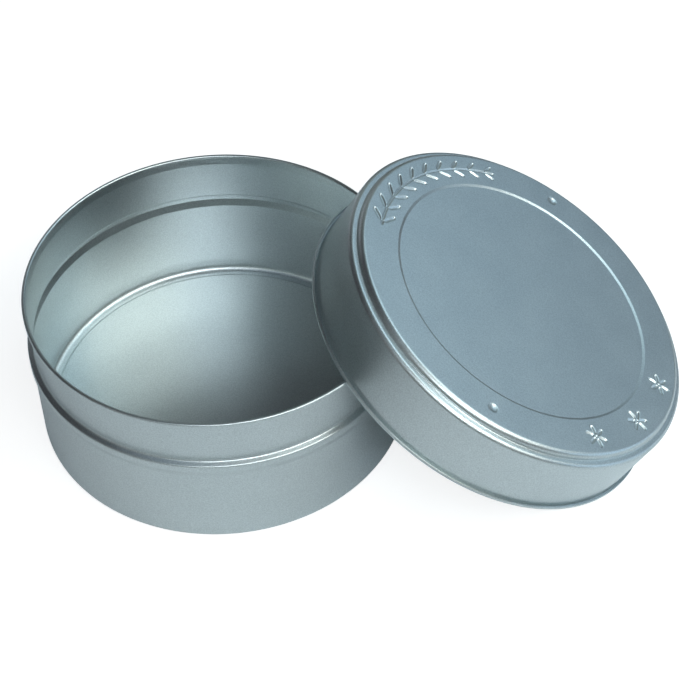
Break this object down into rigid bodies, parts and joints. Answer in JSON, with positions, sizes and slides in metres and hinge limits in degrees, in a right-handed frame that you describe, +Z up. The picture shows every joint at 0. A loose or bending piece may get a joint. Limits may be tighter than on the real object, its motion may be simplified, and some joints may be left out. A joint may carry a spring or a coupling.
{
  "type": "slip-lid storage tin",
  "caption": "Round, wide and low tin with a slip-over lid, for a poured candle or dry goods, shown open with the lid leaning on its rim",
  "frame": {"origin": "centre of the tin's base, on the surface that it stands on", "axes": "+Z up along the tin's axis, +X towards the side where the lid leans, +Y to the left of +X"},
  "size_m": [0.1972, 0.117, 0.0756],
  "materials": {
    "satin_tinplate": "satin tin-plated steel sheet, fine frosted grain, unprinted, with a cool grey cast"
  },
  "bodies": {
    "tin": {"tin_body": "satin_tinplate"},
    "lid": {"lid": "satin_tinplate"}
  },
  "joints": [
    {"name": "lid_lift", "type": "slide", "parent": "tin", "child": "lid", "axis": [0, 0, 1], "range_m": [0, 0.06]}
  ]
}
